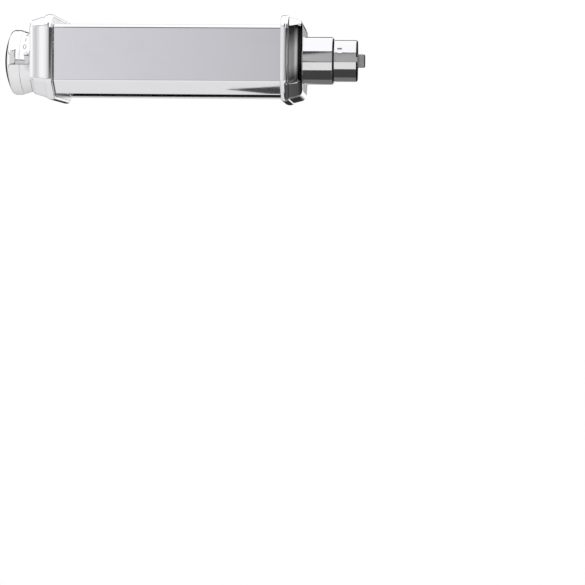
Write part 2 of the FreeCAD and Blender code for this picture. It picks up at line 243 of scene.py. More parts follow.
def stageMesh(name, bm, paint):
    mesh = bpy.data.meshes.new(name)
    bm.to_mesh(mesh)
    bm.free()
    mesh.materials.append(paint)
    made = bpy.data.objects.new(name, mesh)
    bpy.context.scene.collection.objects.link(made)
    return made


def flag(name, corners, paint):
    # a card beside the object that shows only in the metal
    bm = bmesh.new()
    bm.faces.new([bm.verts.new([v * mm for v in corner]) for corner in corners])
    card = stageMesh(name, bm, paint)
    card.visible_camera = False
    card.visible_diffuse = False
    card.visible_shadow = False


def makeSky():
    s = studio
    world = bpy.data.worlds.new("studio")
    bpy.context.scene.world = world
    world.use_nodes = True
    tree = world.node_tree
    tree.nodes.clear()
    parts = splitPlace(tree, "Generated")
    # heading from 0 to 1: 0.5 is the camera's side (-Y), above that its right (+X), and both ends are behind
    angle = calc(tree, "ARCTAN2", parts["X"], calc(tree, "MULTIPLY", parts["Y"], -1.0))
    heading = mapped(tree, angle, -math.pi, math.pi, 0.0, 1.0)
    ring = greyRamp(tree, heading, [
        (0.00, 0.03), (0.10, 0.03), (0.12, 0.92), (0.30, 0.95), (0.335, 1.0), (0.36, 0.98), (0.375, 0.66),
        (0.39, 0.93), (0.405, 0.98), (0.42, 0.70), (0.435, 0.84), (0.455, 0.80), (0.467, 0.75),
        (0.489, 0.58), (0.496, 0.42), (0.525, 0.40), (0.535, 0.62), (0.561, 0.66), (0.567, 0.03),
        (0.605, 0.02), (0.615, 0.95), (0.89, 0.95), (0.989, 0.95), (0.993, 0.03), (1.00, 0.03),
    ])
    # the overhead panel starts at this height, as the sine of the elevation
    panelEdge = greyRamp(tree, heading, [
        (0.00, 0.55), (0.10, 0.55), (0.13, 0.30), (0.30, 0.40), (0.445, 0.42), (0.455, 0.68), (0.522, 0.68),
        (0.532, 0.11), (0.70, 0.15), (0.90, 0.22), (0.98, 0.22), (0.99, 0.42), (1.00, 0.42),
    ])
    above = calc(tree, "SUBTRACT", parts["Z"], panelEdge)
    panel = mapped(tree, above, -0.005, 0.01, 0.0, s["panelGlow"])
    # the dark frame under it and the dark skirting over the floor are both broad only opposite the cover
    frameBand = greyRamp(tree, heading, [
        (0.00, 0.055), (0.461, 0.055), (0.464, 0.43), (0.489, 0.43), (0.491, 0.055), (1.00, 0.055),
    ])
    frameStart = calc(tree, "MULTIPLY", frameBand, -1.0)
    frameEdge = mapped(tree, above, frameStart, calc(tree, "ADD", frameStart, 0.015), 1.0, s["frameDark"])
    skirting = greyRamp(tree, heading, [
        (0.00, 0.0), (0.464, 0.0), (0.467, 1.0), (0.489, 1.0), (0.491, 0.0), (1.00, 0.0),
    ])
    skirtTop = mapped(tree, skirting, 0.0, 1.0, -0.15, 0.0)
    lowEdge = mapped(tree, calc(tree, "SUBTRACT", parts["Z"], skirtTop), -0.015, 0.0, s["skirtDark"], 1.0)
    brightWall = calc(tree, "MULTIPLY", ring, mapped(tree, ring, 0.85, 1.0, 1.0, s["panelGlow"]))
    wall = calc(tree, "MULTIPLY", calc(tree, "MULTIPLY", brightWall, frameEdge), lowEdge)
    level = calc(tree, "MAXIMUM", wall, panel)
    # the backdrop that is seen directly is plain white
    ray = tree.nodes.new("ShaderNodeLightPath")
    shown = calc(tree, "MAXIMUM", level, ray.outputs["Is Camera Ray"])
    tinted = tree.nodes.new("ShaderNodeVectorMath")
    tinted.operation = "MULTIPLY"
    tree.links.new(shown, tinted.inputs[0])
    tree.links.new(blendColour(tree, skirting, (1, 1, 1, 1), s["wallTint"]), tinted.inputs[1])
    background = tree.nodes.new("ShaderNodeBackground")
    tree.links.new(tinted.outputs[0], background.inputs["Color"])
    out = tree.nodes.new("ShaderNodeOutputWorld")
    tree.links.new(background.outputs[0], out.inputs["Surface"])


def makeStudio():
    s = studio
    scene = bpy.context.scene
    scene.view_settings.view_transform = "Standard"
    makeSky()
    bm = bmesh.new()
    bmesh.ops.create_circle(bm, cap_ends=True, segments=96, radius=s["floorSize"])
    bmesh.ops.translate(bm, verts=bm.verts, vec=(cadBox[0].x / 2, midY, -s["floorDrop"]))
    stageMesh("floor", bm, floorPaint())
    x = s["headX"]
    flag("headFlag", [(x, -170, -280), (x, 90, -280), (x, 90, 110), (x, -170, 110)], headPaint())
    (left, right), z, back = s["baseX"], s["baseZ"], s["baseBack"]
    base = flatPaint("basePaint", s["baseGlow"])
    flag("baseFlag", [(left, -250, z), (right, -250, z), (right, back, z), (left, back, z)], base)
    flag("baseTip", [(-100, -30, z), (left, -35, z), (left, -22, z)], base)
    rearBase = flatPaint("rearBasePaint", s["rearBaseGlow"])
    flag("rearBaseFlag", [(left, back, z), (right, back, z), (right, 900, z), (left, 900, z)], rearBase)
    lamp = bpy.data.lights.new("overhead", "AREA")
    lamp.shape = "RECTANGLE"
    lamp.size, lamp.size_y = s["lampSize"]
    lamp.energy = s["lampPower"]
    light = bpy.data.objects.new("overhead", lamp)
    light.location = s["lampPlace"]
    light.visible_glossy = False
    scene.collection.objects.link(light)


makeStudio()
print("stage 3: studio")


# shader groups

def startGroup(name, entries, outs):
    group = bpy.data.node_groups.new(name, "ShaderNodeTree")
    for label, value in entries:
        made = group.interface.new_socket(label, in_out="INPUT", socket_type="NodeSocketFloat")
        made.default_value = value
    for label, kind in outs:
        group.interface.new_socket(label, in_out="OUTPUT", socket_type="NodeSocket" + kind)
    return group, group.nodes.new("NodeGroupInput"), group.nodes.new("NodeGroupOutput")


def noiseNode(tree, vector, scale, detail=3.0, rough=0.5):
    node = tree.nodes.new("ShaderNodeTexNoise")
    feed(tree, scale, node.inputs["Scale"])
    node.inputs["Detail"].default_value = detail
    node.inputs["Roughness"].default_value = rough
    tree.links.new(vector, node.inputs["Vector"])
    return node.outputs["Fac"]


def stretched(tree, vector, size):
    node = tree.nodes.new("ShaderNodeMapping")
    node.inputs["Scale"].default_value = size
    tree.links.new(vector, node.inputs["Vector"])
    return node.outputs["Vector"]


def ownPlace(tree):
    return tree.nodes.new("ShaderNodeTexCoord").outputs["Object"]


def makePlateHaze():
    # bright plating: faint wiped smudges, pinhead specks and a slow ripple left by the polishing wheel
    group, start, end = startGroup("plateHaze", [
        ("Smudge", 0.5), ("Ripple", 0.5), ("Speck", 0.5),
    ], [("Mask", "Float"), ("Speck", "Float"), ("Height", "Float")])
    place = ownPlace(group)
    wiped = noiseNode(group, stretched(group, place, (30, 70, 70)), 1.0, 4.0, 0.6)
    blot = mapped(group, wiped, 0.52, 0.75, 0.0, start.outputs["Smudge"])
    fine = noiseNode(group, stretched(group, place, (160, 420, 420)), 1.0, 2.0)
    mask = calc(group, "MULTIPLY", blot, mapped(group, fine, 0.2, 0.8, 0.55, 1.0))
    grit = noiseNode(group, place, 2600.0, 1.0)
    speck = mapped(group, grit, 0.74, 0.80, 0.0, start.outputs["Speck"])
    wave = noiseNode(group, stretched(group, place, (22, 60, 60)), 1.0, 1.0)
    height = calc(group, "MULTIPLY", wave, start.outputs["Ripple"])
    group.links.new(mask, end.inputs["Mask"])
    group.links.new(speck, end.inputs["Speck"])
    group.links.new(height, end.inputs["Height"])
    return group


def makeToolLines():
    # fine lines that run round the X axis (Along 0) or lengthwise along X (Along 1)
    group, start, end = startGroup("toolLines", [
        ("Fine", 4000.0), ("Along", 0.0), ("Streak", 0.5),
    ], [("Lines", "Float"), ("Height", "Float")])
    place = ownPlace(group)
    parts = group.nodes.new("ShaderNodeSeparateXYZ")
    group.links.new(place, parts.inputs[0])
    across = calc(group, "SUBTRACT", 1.0, start.outputs["Along"])
    slow = 12.0
    joined = group.nodes.new("ShaderNodeCombineXYZ")
    xScale = mapped(group, start.outputs["Along"], 0.0, 1.0, start.outputs["Fine"], slow)
    sideScale = mapped(group, across, 0.0, 1.0, start.outputs["Fine"], slow)
    group.links.new(calc(group, "MULTIPLY", parts.outputs["X"], xScale), joined.inputs["X"])
    group.links.new(calc(group, "MULTIPLY", parts.outputs["Y"], sideScale), joined.inputs["Y"])
    group.links.new(calc(group, "MULTIPLY", parts.outputs["Z"], sideScale), joined.inputs["Z"])
    lines = noiseNode(group, joined.outputs["Vector"], 1.0, 3.0, 0.65)
    broad = noiseNode(group, stretched(group, place, (60, 60, 60)), 1.0, 2.0)
    mixed = calc(group, "MULTIPLY", mapped(group, broad, 0.3, 0.7, start.outputs["Streak"], 1.0), lines)
    group.links.new(mixed, end.inputs["Lines"])
    group.links.new(lines, end.inputs["Height"])
    return group


def makeMouldGrain():
    # moulded plastic: a fine pebbled skin with slow shading
    group, start, end = startGroup("mouldGrain", [
        ("Fine", 1800.0),
    ], [("Shade", "Float"), ("Height", "Float")])
    place = ownPlace(group)
    pebble = noiseNode(group, place, start.outputs["Fine"], 2.0, 0.55)
    slow = noiseNode(group, place, 90.0, 2.0)
    group.links.new(slow, end.inputs["Shade"])
    group.links.new(pebble, end.inputs["Height"])
    return group


def makeOilFilm():
    # thin oil or tarnish that gathers in patches
    group, start, end = startGroup("oilFilm", [("Amount", 0.5), ("Size", 120.0)], [("Mask", "Float")])
    patch = noiseNode(group, ownPlace(group), start.outputs["Size"], 4.0, 0.6)
    group.links.new(mapped(group, patch, 0.45, 0.7, 0.0, start.outputs["Amount"]), end.inputs["Mask"])
    return group


plateHaze = makePlateHaze()
toolLines = makeToolLines()
mouldGrain = makeMouldGrain()
oilFilm = makeOilFilm()


def useGroup(tree, group, values):
    node = tree.nodes.new("ShaderNodeGroup")
    node.node_tree = group
    for label, value in values.items():
        node.inputs[label].default_value = value
    return node


def startMaterial(name, metallic):
    paint = bpy.data.materials.new(name)
    paint.use_nodes = True
    tree = paint.node_tree
    shader = tree.nodes["Principled BSDF"]
    shader.inputs["Metallic"].default_value = metallic
    return paint, tree, shader


def giveBump(tree, shader, height, strength, distance):
    bump = tree.nodes.new("ShaderNodeBump")
    bump.inputs["Strength"].default_value = strength
    bump.inputs["Distance"].default_value = distance
    tree.links.new(height, bump.inputs["Height"])
    tree.links.new(bump.outputs["Normal"], shader.inputs["Normal"])


# materials

plating = {
    "bodyChrome": {"clean": (0.86, 0.86, 0.875, 1), "hazed": (0.80, 0.80, 0.82, 1), "rough": (0.035, 0.12),
                   "smudge": 0.5, "speck": 0.25, "ripple": 0.5, "bump": 0.02},
    "knobChrome": {"clean": (0.87, 0.87, 0.88, 1), "hazed": (0.79, 0.79, 0.81, 1), "rough": (0.05, 0.16),
                   "smudge": 0.7, "speck": 0.25, "ripple": 0.4, "bump": 0.02},
    "hubChrome": {"clean": (0.80, 0.80, 0.81, 1), "hazed": (0.70, 0.70, 0.71, 1), "rough": (0.06, 0.2),
                  "smudge": 0.6, "speck": 0.3, "ripple": 0.4, "bump": 0.02},
}

tooled = {
    "rollerAluminium": {"light": (0.86, 0.87, 0.88, 1), "dark": (0.70, 0.71, 0.73, 1), "rough": (0.22, 0.34),
                        "fine": 5200.0, "along": 0.0, "streak": 0.6, "film": 0.25, "bump": 0.12},
    "plateSteel": {"light": (0.86, 0.865, 0.87, 1), "dark": (0.70, 0.705, 0.71, 1), "rough": (0.18, 0.30),
                   "fine": 3000.0, "along": 1.0, "streak": 0.5, "film": 0.4, "bump": 0.15},
    "brightSteel": {"light": (0.74, 0.745, 0.75, 1), "dark": (0.60, 0.60, 0.61, 1), "rough": (0.16, 0.28),
                    "fine": 4200.0, "along": 1.0, "streak": 0.6, "film": 0.3, "bump": 0.1},
    "shaftSteel": {"light": (0.70, 0.70, 0.705, 1), "dark": (0.55, 0.55, 0.56, 1), "rough": (0.18, 0.3),
                   "fine": 4600.0, "along": 0.0, "streak": 0.5, "film": 0.35, "bump": 0.12},
    "gearSteel": {"light": (0.52, 0.52, 0.525, 1), "dark": (0.34, 0.335, 0.33, 1), "rough": (0.3, 0.5),
                  "fine": 2600.0, "along": 1.0, "streak": 0.4, "film": 0.8, "bump": 0.2},
    "screwSteel": {"light": (0.72, 0.725, 0.74, 1), "dark": (0.58, 0.58, 0.60, 1), "rough": (0.2, 0.36),
                   "fine": 3800.0, "along": 0.0, "streak": 0.5, "film": 0.4, "bump": 0.1},
}

moulded = {
    "bushNylon": {"light": (0.80, 0.78, 0.72, 1), "dark": (0.72, 0.70, 0.63, 1), "rough": (0.38, 0.5),
                  "fine": 2200.0, "bump": 0.12},
    "scraperNylon": {"light": (0.085, 0.087, 0.09, 1), "dark": (0.055, 0.056, 0.06, 1), "rough": (0.4, 0.55),
                     "fine": 1800.0, "bump": 0.2},
}

bumpDepth = {"plated": 1.0 * mm, "tooled": 0.04 * mm, "moulded": 0.06 * mm}


def platedMaterial(name):
    s = plating[name]
    paint, tree, shader = startMaterial(name, 1.0)
    haze = useGroup(tree, plateHaze, {"Smudge": s["smudge"], "Ripple": s["ripple"], "Speck": s["speck"]})
    colour = blendColour(tree, haze.outputs["Mask"], s["clean"], s["hazed"])
    tree.links.new(colour, shader.inputs["Base Color"])
    low, high = s["rough"]
    rough = mapped(tree, haze.outputs["Mask"], 0.0, 1.0, low, high)
    rough = calc(tree, "ADD", rough, calc(tree, "MULTIPLY", haze.outputs["Speck"], 0.2))
    tree.links.new(rough, shader.inputs["Roughness"])
    giveBump(tree, shader, haze.outputs["Height"], s["bump"], bumpDepth["plated"])
    return paint


def tooledMaterial(name):
    s = tooled[name]
    paint, tree, shader = startMaterial(name, 1.0)
    lines = useGroup(tree, toolLines, {"Fine": s["fine"], "Along": s["along"], "Streak": s["streak"]})
    film = useGroup(tree, oilFilm, {"Amount": s["film"], "Size": 110.0})
    bright = mapped(tree, lines.outputs["Lines"], 0.25, 0.7, 0.0, 1.0)
    colour = blendColour(tree, bright, s["dark"], s["light"])
    stained = blendColour(tree, film.outputs["Mask"], colour, s["dark"])
    tree.links.new(stained, shader.inputs["Base Color"])
    low, high = s["rough"]
    tree.links.new(mapped(tree, lines.outputs["Lines"], 0.2, 0.8, high, low), shader.inputs["Roughness"])
    giveBump(tree, shader, lines.outputs["Height"], s["bump"], bumpDepth["tooled"])
    return paint


def mouldedMaterial(name):
    s = moulded[name]
    paint, tree, shader = startMaterial(name, 0.0)
    grain = useGroup(tree, mouldGrain, {"Fine": s["fine"]})
    bright = mapped(tree, grain.outputs["Shade"], 0.3, 0.7, 0.0, 1.0)
    colour = blendColour(tree, bright, s["dark"], s["light"])
    tree.links.new(colour, shader.inputs["Base Color"])
    low, high = s["rough"]
    tree.links.new(mapped(tree, grain.outputs["Height"], 0.3, 0.7, low, high), shader.inputs["Roughness"])
    giveBump(tree, shader, grain.outputs["Height"], s["bump"], bumpDepth["moulded"])
    return paint


finishes = {name: platedMaterial(name) for name in plating}
finishes.update({name: tooledMaterial(name) for name in tooled})
finishes.update({name: mouldedMaterial(name) for name in moulded})

# the record's slot names and the finish that each gets
slotFinish = {
    "polished_chrome": "bodyChrome",
    "knob_chrome": "knobChrome",
    "hub_chrome": "hubChrome",
    "roller_aluminium": "rollerAluminium",
    "plate_steel": "plateSteel",
    "bright_steel": "brightSteel",
    "shaft_steel": "shaftSteel",
    "gear_steel": "gearSteel",
    "screw_steel": "screwSteel",
    "bush_nylon": "bushNylon",
    "scraper_nylon": "scraperNylon",
}
slotOf = {node: piece.material_slots[0].material.name for node, piece in nodes.items()}
for node, piece in nodes.items():
    piece.material_slots[0].material = finishes[slotFinish[slotOf[node]]]
print("stage 4: materials")


# mesh helpers

def finishPiece(name, bm, body, slot, replaced=(), sharp=32, finish=None):
    bmesh.ops.remove_doubles(bm, verts=bm.verts, dist=same)
    limit = math.radians(sharp)
    for face in bm.faces:
        face.smooth = True
    for edge in bm.edges:
        edge.smooth = edge.calc_face_angle(0.0) < limit
    mesh = bpy.data.meshes.new(name)
    bm.to_mesh(mesh)
    bm.free()
    piece = bpy.data.objects.new(name, mesh)
    bpy.context.scene.collection.objects.link(piece)
    mesh.materials.append(finish or finishes[slotFinish[slot]])
    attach(piece, body)
    if replaced:
        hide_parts(*replaced)
    evenNormals = piece.modifiers.new("evenNormals", "WEIGHTED_NORMAL")
    evenNormals.keep_sharp = True
    return piece


def spun(bm, profile, y=0.0, z=0.0, steps=96):
    # profile is (x, radius), turned about a line along X
    start = [bm.verts.new((x, y, z + r)) for x, r in profile]
    edges = [bm.edges.new(pair) for pair in zip(start, start[1:] + start[:1])]
    bmesh.ops.spin(bm, geom=start + edges, cent=(0, y, z), axis=(1, 0, 0), dvec=(0, 0, 0),
                   angle=math.tau, steps=steps, use_merge=True, use_duplicate=False)
    bmesh.ops.remove_doubles(bm, verts=bm.verts, dist=1e-7)
    bmesh.ops.recalc_face_normals(bm, faces=bm.faces)


def roundEdges(bm, edges, offset, segments):
    bmesh.ops.bevel(bm, geom=edges, offset=offset, offset_type="OFFSET", affect="EDGES",
                    segments=segments, profile=0.5, material=-1)


def inset(bm, face, thickness, depth):
    bmesh.ops.inset_region(bm, faces=[face], thickness=thickness, depth=depth, use_even_offset=True)


def turnAboutX(bm, degrees):
    turn = Matrix.Rotation(math.radians(degrees), 3, "X")
    bmesh.ops.rotate(bm, verts=bm.verts, cent=(0, 0, 0), matrix=turn)


def roundRings(bm, rings, segments=3):
    # rings are (x, radius, offset, y, z): the circular edges there get a fillet of that offset
    for x, radius, offset, y, z in rings:
        def onRing(vert):
            away = math.hypot(vert.co.y - y, vert.co.z - z) - radius
            return abs(vert.co.x - x) < onLine and abs(away) < onLine

        roundEdges(bm, [e for e in bm.edges if all(onRing(v) for v in e.verts)], offset, segments)


def slab(bm, points, x0, x1, corner):
    # plate between x0 and x1 whose outline is (y, z) points with rounded corners
    face = bm.faces.new([bm.verts.new((x0, y, z)) for y, z in points])
    bmesh.ops.bevel(bm, geom=face.verts[:], offset=corner, offset_type="OFFSET", affect="VERTICES",
                    segments=4, profile=0.5, material=-1)
    bm.faces.ensure_lookup_table()
    face = bm.faces[-1]
    grown = bmesh.ops.extrude_face_region(bm, geom=[face], use_keep_orig=True)
    moved = [v for v in grown["geom"] if isinstance(v, bmesh.types.BMVert)]
    bmesh.ops.translate(bm, verts=moved, vec=(x1 - x0, 0, 0))
    bmesh.ops.recalc_face_normals(bm, faces=bm.faces)


def carved(bm, cutters):
    # one exact boolean with all the cutters, whose result comes back as a bmesh
    def temporary(name, source):
        mesh = bpy.data.meshes.new(name)
        source.to_mesh(mesh)
        source.free()
        made = bpy.data.objects.new(name, mesh)
        bpy.context.scene.collection.objects.link(made)
        return made

    body = temporary("carveBody", bm)
    tools = []
    for cutter in cutters:
        tool = temporary("carveTool", cutter)
        tools.append(tool)
        cut = body.modifiers.new("cut", "BOOLEAN")
        cut.operation = "DIFFERENCE"
        cut.solver = "EXACT"
        cut.object = tool
    bpy.context.view_layer.update()
    depsgraph = bpy.context.evaluated_depsgraph_get()
    result = bmesh.new()
    evaluated = body.evaluated_get(depsgraph)
    result.from_mesh(evaluated.to_mesh())
    evaluated.to_mesh_clear()
    for made in [body] + tools:
        mesh = made.data
        bpy.data.objects.remove(made)
        bpy.data.meshes.remove(mesh)
    bmesh.ops.remove_doubles(result, verts=result.verts, dist=same)
    return result


def drillTool(x0, x1, radius, y, z, steps=64):
    bm = bmesh.new()
    spun(bm, [(x0, 0.0), (x0, radius), (x1, radius), (x1, 0.0)], y, z, steps)
    return bm


def countersinkTool(face, far, y, z, headRadius=2.4 * mm, radius=1.6 * mm):
    side = 1 if face > far else -1
    bm = bmesh.new()
    spun(bm, [
        (face + side * 0.5 * mm, 0.0), (face + side * 0.5 * mm, headRadius + 0.5 * mm),
        (face - side * (headRadius - radius), radius), (far - side * 0.5 * mm, radius),
        (far - side * 0.5 * mm, 0.0),
    ], y, z, 48)
    return bm


# end casings

casing = {
    "corner": 9.5 * mm,
    "kneeReach": 2.07 * mm,     # how far the lower corners' rounding runs along each side
    "kneeHeight": -16.5 * mm,
    "footHalf": 28.0 * mm,
    "beadWidth": 5.4 * mm,
    "beadStep": 1.5 * mm,
    "beadBow": 5.0 * mm,        # radius of the bead's bowed band
    "beadFlat": 0.05 * mm,      # half of the level strip along its middle
    "bowSteps": 6,
    "slopes": (11.0, 21.0),     # how far the crown's wall leans in at its foot and at its shoulder, degrees
    "slopeSteps": 8,
    "cavityDraw": 2.2 * mm,
    "wall": 1.8 * mm,
    "rimRound": 0.7 * mm,
    "crownRound": 3.2 * mm,
    "footRound": 0.25 * mm,
    "seatInset": 2.0 * mm,
    "seatDepth": 2.5 * mm,
    "pillars": ((-9.0 * mm, 15.0 * mm), (-8.0 * mm, -10.0 * mm)),
    "flangeScrews": ((30.0 * mm, 15.0 * mm), (24.0 * mm, -15.5 * mm)),
    "hubRadius": 16.0 * mm,
    "plateGap": 0.1 * mm,       # round the index plate and round the hub
    "plateScrews": (9.5 * mm, 1.25 * mm),   # the index plate's screws: distance from its middle, and radius
    "axleHole": 6.1 * mm,
    "holeRound": 0.35 * mm,
    "sliver": 0.01 * mm,        # keeps neighbouring loops apart
}


def edgesAt(bm, x):
    return [e for e in bm.edges if all(abs(v.co.x - x) < same for v in e.verts)]


def endFace(bm, x):
    return max((f for f in bm.faces if abs(f.calc_center_median().x - x) < same), key=lambda f: f.calc_area())


def kneeEdges(bm, half, bottom):
    # the four long edges at the ends of the lower slopes: their corners lie on the mitre lines of the section
    s = casing
    mitre = math.tan(math.radians(22.5))

    def onMitre(vert, corner):
        u, z = abs(vert.co.y - midY), vert.co.z
        if corner:
            return abs(z - s["kneeHeight"] - mitre * (half - u)) < onLine
        return abs(s["footHalf"] - u - mitre * (z - bottom)) < onLine

    found = []
    for corner in (True, False):
        for edge in bm.edges:
            a, b = edge.verts
            if (a.co.y - midY) * (b.co.y - midY) > 0 and onMitre(a, corner) and onMitre(b, corner):
                found.append(edge)
    return found


def makeCasing(name, inner, outer, cutters):
    s = casing
    side = 1 if outer > inner else -1
    lo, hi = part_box(name)
    half = (hi.y - lo.y) / 2
    bead = inner + side * s["beadWidth"]
    bm = bmesh.new()
    right = [(half, hi.z), (half, s["kneeHeight"]), (s["footHalf"], lo.z)]
    outline = right + [(-u, z) for u, z in reversed(right)]
    middle = (inner + bead) / 2
    flat = s["beadFlat"]
    bm.faces.new([bm.verts.new((middle - side * flat, midY + u, z)) for u, z in outline])
    bmesh.ops.bevel(bm, geom=[v for v in bm.verts if abs(v.co.z - hi.z) < same], offset=s["corner"],
                    offset_type="OFFSET", affect="VERTICES", segments=16, profile=0.5, material=-1)
    grown = bmesh.ops.extrude_face_region(bm, geom=bm.faces[:], use_keep_orig=True)
    moved = [v for v in grown["geom"] if isinstance(v, bmesh.types.BMVert)]
    bmesh.ops.translate(bm, verts=moved, vec=(side * 2 * flat, 0, 0))
    bmesh.ops.recalc_face_normals(bm, faces=bm.faces)
    # the bead bows down from its middle to both rims
    bow = abs(bead - inner) / 2 - flat - s["rimRound"]
    sag = s["beadBow"] - math.sqrt(s["beadBow"] ** 2 - bow ** 2)
    rimEdge = s["rimRound"] * 0.95
    for turn in (-1, 1):
        face = endFace(bm, middle + turn * flat)
        fallen = 0.0
        for step in range(s["bowSteps"]):
            reach = bow * (step + 1) / s["bowSteps"]
            fall = s["beadBow"] - math.sqrt(s["beadBow"] ** 2 - reach ** 2)
            inset(bm, face, fall - fallen, bow / s["bowSteps"])
            fallen = fall
        inset(bm, face, s["sliver"], s["rimRound"])
    roundEdges(bm, edgesAt(bm, inner) + edgesAt(bm, bead), rimEdge, 5)
    rim = sag + s["sliver"] + rimEdge
    # crown: a step in from the bead, then the drafted wall and its round outer edge
    face = endFace(bm, bead)
    inset(bm, face, s["beadStep"] - rim, 0.0)
    foot = face.edges[:]
    rise = abs(outer - bead) / s["slopeSteps"]
    low, high = s["slopes"]
    for step in range(s["slopeSteps"]):
        lean = math.radians(low + (high - low) * (step + 0.5) / s["slopeSteps"])
        inset(bm, face, rise * math.tan(lean), rise)
    roundEdges(bm, face.edges[:], s["crownRound"], 9)
    roundEdges(bm, [e for e in foot if e.is_valid], s["footRound"], 3)
    roundEdges(bm, kneeEdges(bm, half, lo.z), s["kneeReach"], 7)
    # inside: the side plate's seat, then the cavity
    face = endFace(bm, inner)
    inset(bm, face, s["seatInset"] - rim, 0.0)
    inset(bm, face, 2 * s["sliver"], -s["seatDepth"])
    inset(bm, face, s["beadStep"] + s["wall"] - s["seatInset"], 0.0)
    inset(bm, face, s["cavityDraw"], s["seatDepth"] + s["wall"] - abs(outer - inner))
    return carved(bm, cutters)


def makeCasings():
    s = casing
    lo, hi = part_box("left_end_casing")
    inner, outer = hi.x, lo.x
    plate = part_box("index_plate")
    plateHole = (plate[1].z - plate[0].z) / 2 + s["plateGap"]
    cutters = [
        drillTool(outer - 2 * mm, plate[1].x, plateHole, knobAxis.y, 0.0, 96),
        drillTool(plate[0].x, outer + 5 * mm, s["axleHole"], knobAxis.y, 0.0),
    ]
    cutters += [countersinkTool(outer, outer + s["wall"], y, z) for y, z in s["pillars"]]
    reach, radius = s["plateScrews"]
    for turn in (-1, 1):
        cutters.append(drillTool(outer - mm, outer + 4 * mm, radius, knobAxis.y + turn * reach, 0.0, 24))
    bm = makeCasing("left_end_casing", inner, outer, cutters)
    roundRings(bm, [(outer, plateHole, s["holeRound"], knobAxis.y, 0.0)])
    finishPiece("leftCasing", bm, "frame", "polished_chrome", ["left_end_casing"])
    lo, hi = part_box("right_end_casing")
    inner, outer = lo.x, hi.x
    hubHole = s["hubRadius"] + s["plateGap"]
    cutters = [drillTool(inner, outer + 2 * mm, hubHole, 0.0, 0.0, 96)]
    cutters += [countersinkTool(outer, outer - s["wall"], y, z) for y, z in s["flangeScrews"]]
    bm = makeCasing("right_end_casing", inner, outer, cutters)
    roundRings(bm, [(outer, hubHole, s["holeRound"], 0.0, 0.0)])
    finishPiece("rightCasing", bm, "frame", "polished_chrome", ["right_end_casing"])


makeCasings()
print("stage 5: end casings")


# covers

cover = {
    # half of the body's section, from the lip over the rollers to the return under the front
    "line": ((-20.25, 16.5), (-32.6, 23.0), (-34.5, 20.3), (-34.5, -15.6), (-25.6, -24.5), (-23.7, -22.9)),
    "bend": 2.0 * mm,
    "sheet": 0.8 * mm,
    "edgeRound": 0.22 * mm,
}


def makeCover(name, node, side):
    s = cover
    lo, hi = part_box(node)
    points = [Vector((lo.x, midY - side * u * mm, z * mm)) for u, z in s["line"]]
    bm = bmesh.new()
    row = [bm.verts.new(p) for p in points]
    edges = [bm.edges.new(pair) for pair in zip(row, row[1:])]
    grown = bmesh.ops.extrude_edge_only(bm, edges=edges)
    moved = [v for v in grown["geom"] if isinstance(v, bmesh.types.BMVert)]
    bmesh.ops.translate(bm, verts=moved, vec=(hi.x - lo.x, 0, 0))
    for before, here, after in zip(points, points[1:], points[2:]):
        turn = (here - before).angle(after - here)
        fold = [e for e in bm.edges if all((v.co.yz - here.yz).length < same for v in e.verts)]
        roundEdges(bm, fold, s["bend"] * math.tan(turn / 2), 6)
    largest = max(bm.faces, key=lambda f: f.calc_area())
    largest.normal_update()
    if largest.normal.y * side < 0:
        bmesh.ops.reverse_faces(bm, faces=bm.faces)
    piece = finishPiece(name, bm, "frame", "polished_chrome", [node], 60)
    wall = piece.modifiers.new("sheet", "SOLIDIFY")
    wall.thickness = s["sheet"]
    wall.offset = -1
    wall.use_even_offset = True
    softEdge = piece.modifiers.new("softEdge", "BEVEL")
    softEdge.width = s["edgeRound"]
    softEdge.segments = 2
    softEdge.limit_method = "ANGLE"
    softEdge.angle_limit = math.radians(50)
    piece.modifiers.move(0, 2)      # even normals last


makeCover("frontCover", "front_cover", -1)
makeCover("rearCover", "rear_cover", 1)
print("stage 6: covers")


# knob

knob = {
    "crease": -211.4 * mm,
    "seam": -218.0 * mm,
    "web": (-213.0 * mm, -211.0 * mm),
    "skirtRadius": 20.0 * mm,
    "bandRadii": (19.7 * mm, 21.6 * mm),
    "bore": 17.2 * mm,
    "capBore": 17.5 * mm,
    "axleBore": 4.05 * mm,
    "axleFlat": 3.25 * mm,      # from the axis to each of the two flats
    "pinHole": 1.5 * mm,
    "holeSpan": (-216.0 * mm, -208.0 * mm),
    "rimRadius": 22.5 * mm,
    "rimBack": -220.6 * mm,     # where the cap's widest ring ends towards the seam
    "rimDepth": 6.3 * mm,       # of its other end, from the tip
    "seamRadius": 21.8 * mm,
    "domeRadius": 21.6 * mm,
    "domeSag": 5.3 * mm,
    "capWell": (-215.0 * mm, 16.0 * mm),    # the spigot of the cap inside the body: its end and its radius
    "wall": 1.8 * mm,
    "numeralSize": 5.2 * mm,
    "numeralThick": 0.12 * mm,  # half of it is sunk in the band
    "firstNumeral": 153.0,      # degrees from +Y towards +Z
    "pitch": 18.0,
}


def domePoints(tip, sphere, edge, count, inward=False):
    radii = [edge * k / count for k in range(count + 1)]
    points = [(tip + sphere - math.sqrt(sphere ** 2 - r ** 2), r) for r in radii]
    return points[::-1] if inward else points


